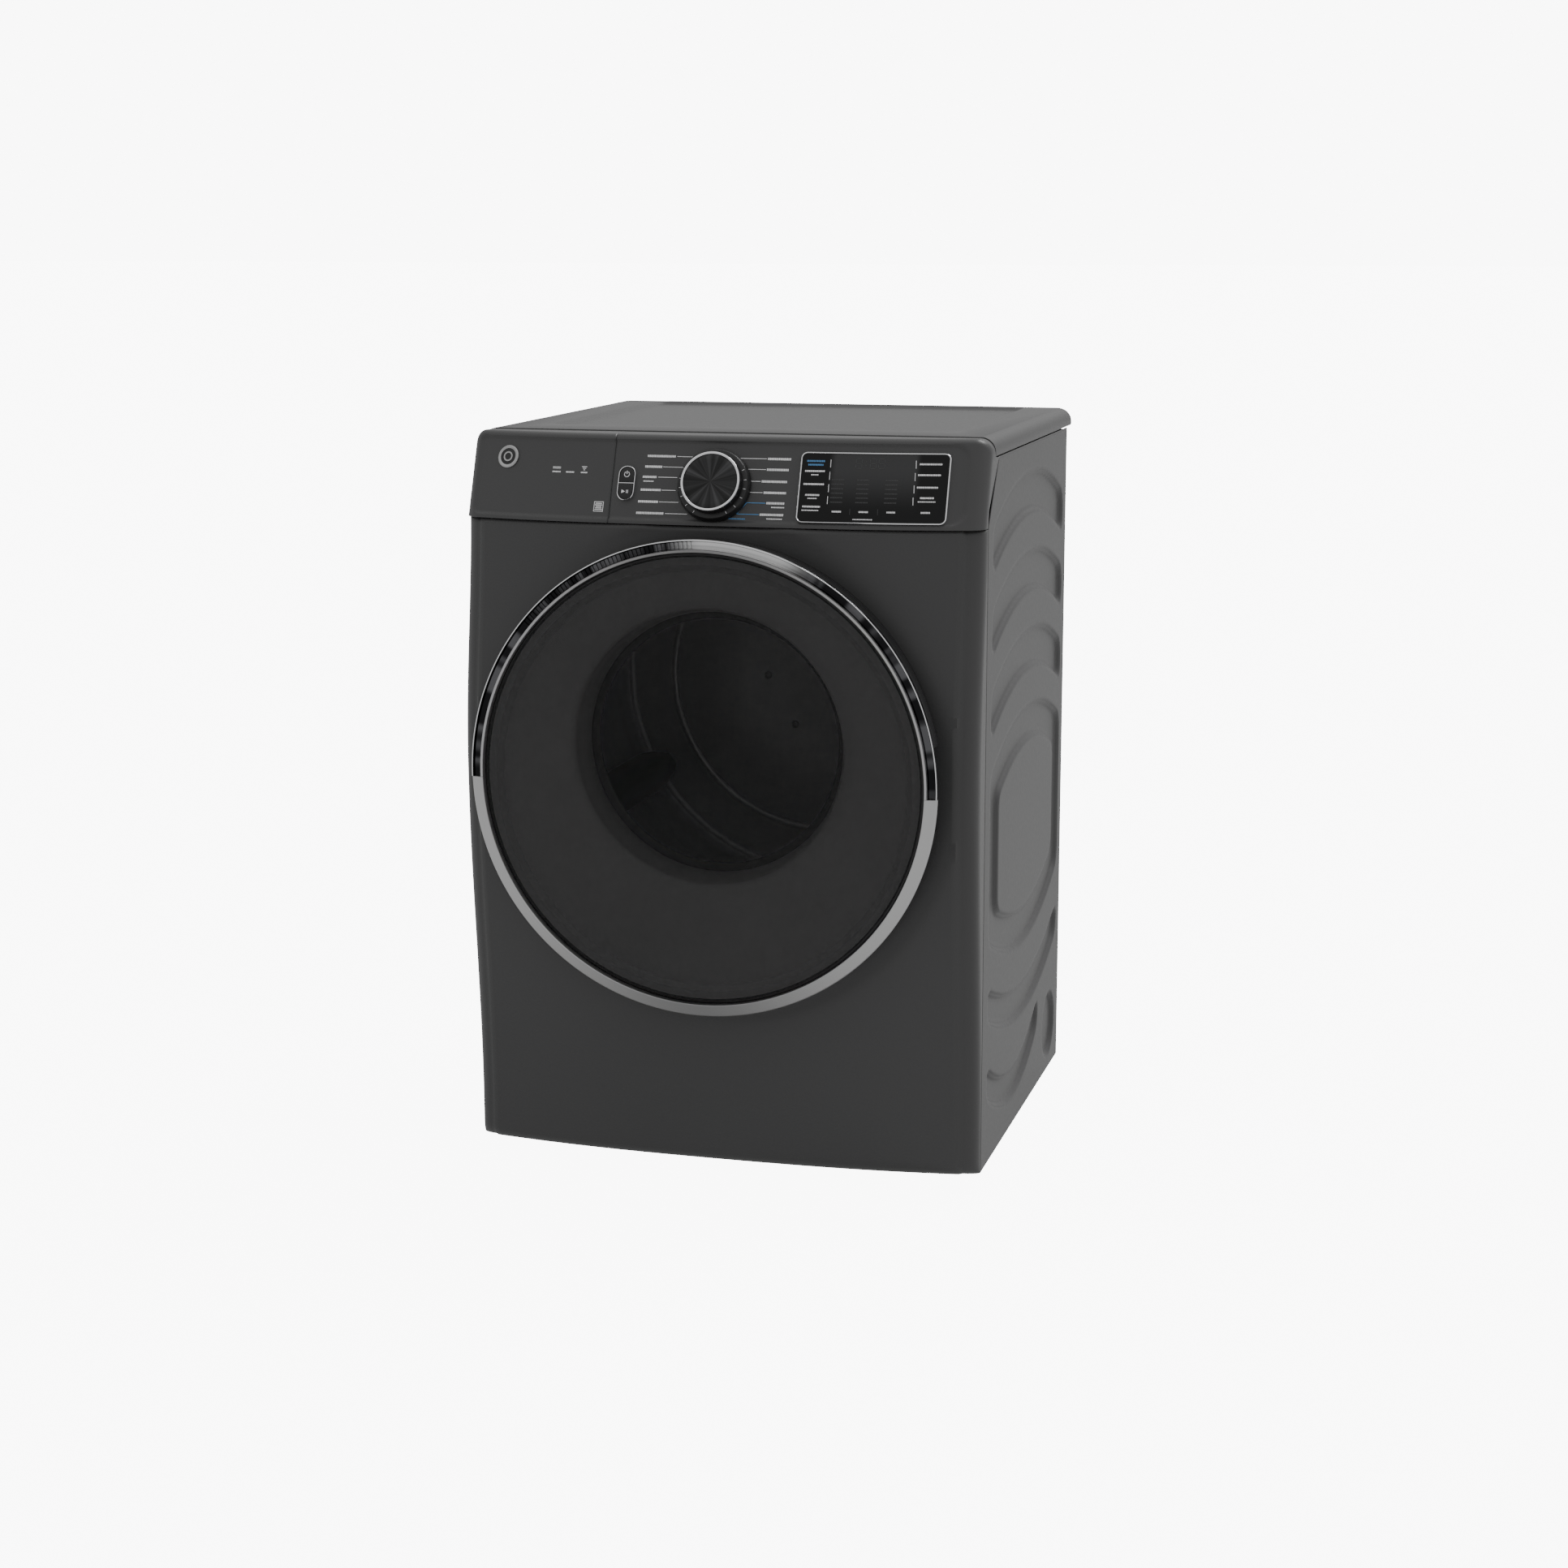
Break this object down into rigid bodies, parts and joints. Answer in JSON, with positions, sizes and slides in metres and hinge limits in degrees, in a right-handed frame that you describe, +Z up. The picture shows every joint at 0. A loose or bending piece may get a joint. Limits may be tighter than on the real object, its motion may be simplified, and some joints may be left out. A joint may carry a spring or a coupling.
{
  "type": "clothes dryer",
  "caption": "Front-loading clothes dryer: cabinet with pressed sides, round hinged glass door, belt-driven drum, blower and duct, lint screen, dial and push buttons.",
  "frame": {"origin": "middle of the bounding box, on the floor under the feet", "axes": "+X to the right as seen from the front, +Y from the door to the back, +Z up"},
  "size_m": [0.7112, 0.767, 1.0095],
  "materials": {
    "graphite_paint": "satin graphite enamel",
    "zinc_steel": "zinc-plated sheet",
    "drum_steel": "coated steel",
    "satin_silver": "satin silver",
    "dark_chrome": "dark chrome",
    "door_shell": "moulded black",
    "black_plastic": "fine grain black",
    "grey_plastic": "moulded dark grey",
    "tinted_window": "tinted, polished",
    "display_lens": "polished black lens",
    "inner_glass": "clear",
    "rubber_black": "matt",
    "circuit_board": "laminate",
    "motor_casting": "cast"
  },
  "bodies": {
    "cabinet": {"base_pan": "zinc_steel", "side_panel_left": "graphite_paint", "side_panel_right": "graphite_paint", "rear_panel": "zinc_steel", "top_panel": "graphite_paint", "front_panel": "graphite_paint", "front_bulkhead": "zinc_steel", "rear_bulkhead": "zinc_steel", "console_fascia": "graphite_paint", "console_side_cover": "graphite_paint", "display_frame": "dark_chrome", "display_lens": "display_lens", "control_board": "circuit_board", "dial_skirt": "black_plastic", "button_surround": "dark_chrome", "drum_throat": "grey_plastic", "door_gasket": "rubber_black", "hinge_bracket": "zinc_steel", "door_catch": "black_plastic", "drum_bearing": "zinc_steel", "roller_axle_left": "zinc_steel", "roller_axle_right": "zinc_steel", "drive_belt": "rubber_black", "motor": "motor_casting", "motor_mount": "zinc_steel", "blower_housing": "grey_plastic", "exhaust_duct": "zinc_steel", "heater_housing": "zinc_steel", "lint_duct": "grey_plastic", "terminal_cover": "black_plastic"},
    "door": {"door_shell": "door_shell", "door_lower_band": "satin_silver", "door_grip_trim": "dark_chrome", "door_window": "tinted_window", "door_funnel": "grey_plastic", "door_inner_panel": "grey_plastic", "door_inner_glass": "inner_glass", "hinge_leaf": "zinc_steel", "hinge_pin": "zinc_steel", "door_strike": "zinc_steel"},
    "drum": {"drum": "drum_steel", "drum_baffle_1": "grey_plastic", "drum_baffle_2": "grey_plastic", "drum_baffle_3": "grey_plastic", "drum_shaft": "zinc_steel"},
    "roller_left": {"roller_left": "rubber_black"},
    "roller_right": {"roller_right": "rubber_black"},
    "idler_arm": {"idler_arm": "zinc_steel"},
    "idler_pulley": {"idler_pulley": "grey_plastic"},
    "cycle_knob": {"cycle_knob": "dark_chrome"},
    "power_button": {"power_button": "black_plastic"},
    "start_button": {"start_button": "black_plastic"},
    "switch_plunger": {"switch_plunger": "black_plastic"},
    "lint_screen": {"lint_screen": "grey_plastic"},
    "foot_front_left": {"foot_front_left": "black_plastic"},
    "foot_front_right": {"foot_front_right": "black_plastic"},
    "foot_rear_left": {"foot_rear_left": "black_plastic"},
    "foot_rear_right": {"foot_rear_right": "black_plastic"},
    "motor_rotor": {"motor_shaft": "zinc_steel", "blower_wheel": "grey_plastic"}
  },
  "joints": [
    {"name": "door_swing", "type": "hinge", "parent": "cabinet", "child": "door", "pos_m": [0.3, -0.354, 0.567], "axis": [0, 0, 1], "range_deg": [0, 150]},
    {"name": "drum_spin", "type": "hinge", "parent": "cabinet", "child": "drum", "pos_m": [0, 0.021, 0.605], "axis": [0, 1, 0], "continuous": true},
    {"name": "motor_spin", "type": "hinge", "parent": "cabinet", "child": "motor_rotor", "pos_m": [0.13, -0.011, 0.164], "axis": [0, 1, 0], "continuous": true},
    {"name": "roller_left_spin", "type": "hinge", "parent": "cabinet", "child": "roller_left", "pos_m": [-0.21327, -0.199, 0.33203], "axis": [0, 1, 0], "continuous": true},
    {"name": "roller_right_spin", "type": "hinge", "parent": "cabinet", "child": "roller_right", "pos_m": [0.21327, -0.199, 0.33203], "axis": [0, 1, 0], "continuous": true},
    {"name": "idler_swing", "type": "hinge", "parent": "cabinet", "child": "idler_arm", "pos_m": [-0.12, 0.129, 0.179], "axis": [0, 1, 0], "range_deg": [0, 8], "stiffness_Nm_per_rad": 4, "springref_deg": -8.59},
    {"name": "idler_spin", "type": "hinge", "parent": "idler_arm", "child": "idler_pulley", "pos_m": [0.01046, 0.12, 0.19894], "axis": [0, 1, 0], "continuous": true},
    {"name": "knob_turn", "type": "hinge", "parent": "cabinet", "child": "cycle_knob", "pos_m": [0, -0.30029, 0.94695], "axis": [0, -0.9336, 0.3584], "continuous": true},
    {"name": "power_press", "type": "slide", "parent": "cabinet", "child": "power_button", "axis": [0.031, 0.9331, -0.3582], "range_m": [0, 0.0012], "stiffness_N_per_m": 1500, "springref_m": -0.0008},
    {"name": "start_press", "type": "slide", "parent": "cabinet", "child": "start_button", "axis": [0.031, 0.9331, -0.3582], "range_m": [0, 0.0012], "stiffness_N_per_m": 1500, "springref_m": -0.0008},
    {"name": "switch_press", "type": "slide", "parent": "cabinet", "child": "switch_plunger", "axis": [0, 1, 0], "range_m": [0, 0.002], "stiffness_N_per_m": 600, "springref_m": -0.002},
    {"name": "lint_lift", "type": "slide", "parent": "cabinet", "child": "lint_screen", "axis": [0, 0, 1], "range_m": [0, 0.17]},
    {"name": "foot_front_left_screw", "type": "slide", "parent": "cabinet", "child": "foot_front_left", "axis": [0, 0, -1], "range_m": [0, 0.012]},
    {"name": "foot_front_right_screw", "type": "slide", "parent": "cabinet", "child": "foot_front_right", "axis": [0, 0, -1], "range_m": [0, 0.012]},
    {"name": "foot_rear_left_screw", "type": "slide", "parent": "cabinet", "child": "foot_rear_left", "axis": [0, 0, -1], "range_m": [0, 0.012]},
    {"name": "foot_rear_right_screw", "type": "slide", "parent": "cabinet", "child": "foot_rear_right", "axis": [0, 0, -1], "range_m": [0, 0.012]}
  ],
  "couplings": [
    {"joint": "motor_spin", "follows": "drum_spin", "ratio": 25.44},
    {"joint": "roller_left_spin", "follows": "drum_spin", "ratio": -11.357},
    {"joint": "roller_right_spin", "follows": "drum_spin", "ratio": -11.357}
  ]
}
